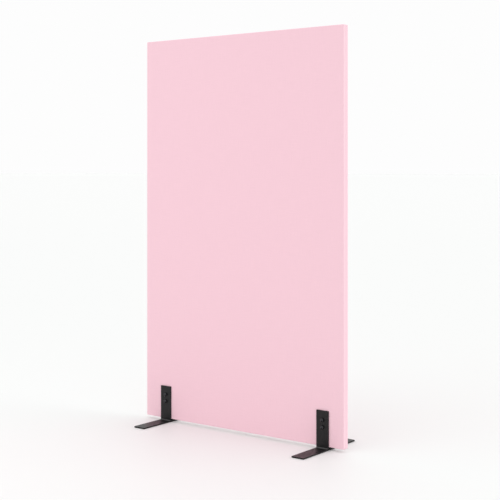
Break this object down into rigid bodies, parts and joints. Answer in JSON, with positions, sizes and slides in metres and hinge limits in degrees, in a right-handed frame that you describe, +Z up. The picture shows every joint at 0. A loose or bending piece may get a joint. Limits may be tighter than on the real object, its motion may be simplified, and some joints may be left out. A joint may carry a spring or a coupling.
{
  "type": "acoustic divider screen",
  "caption": "Upright upholstered panel with a wooden frame and a sound-absorbing core, clamped between the uprights of flat steel floor feet.",
  "frame": {"origin": "on the floor, in the panel's middle plane and under the middle of its width", "axes": "+X runs along the panel's width to the right seen from the front, +Y through its thickness from the front face to the rear, +Z up"},
  "size_m": [1, 0.355, 1.613],
  "materials": {
    "softwood": "matte",
    "plywood": "matte",
    "beech": "matte",
    "core_wool": "matte",
    "fleece": "matte",
    "cover_fabric": "matte",
    "strip_fabric": "matte",
    "staple_wire": "satin",
    "foot_steel": "satin",
    "screw_steel": "satin",
    "glide_rubber": "matte"
  },
  "bodies": {
    "root": {"frame_left_stile": "softwood", "frame_right_stile": "softwood", "frame_top_rail": "softwood", "frame_middle_rail": "softwood", "frame_bottom_rail": "softwood", "left_foot_block": "plywood", "right_foot_block": "plywood", "frame_dowels": "beech", "block_dowels": "beech", "upper_core": "core_wool", "lower_core": "core_wool", "front_wadding": "fleece", "rear_wadding": "fleece", "front_cover": "cover_fabric", "rear_cover": "cover_fabric", "closing_strip": "strip_fabric", "strip_staples": "staple_wire", "left_base_bar": "foot_steel", "right_base_bar": "foot_steel", "left_front_upright": "foot_steel", "left_rear_upright": "foot_steel", "right_front_upright": "foot_steel", "right_rear_upright": "foot_steel", "left_weld_beads": "foot_steel", "right_weld_beads": "foot_steel", "left_clamp_screws": "screw_steel", "right_clamp_screws": "screw_steel", "left_sleeve_nuts": "screw_steel", "right_sleeve_nuts": "screw_steel", "left_glide_pads": "glide_rubber", "right_glide_pads": "glide_rubber"}
  },
  "joints": []
}
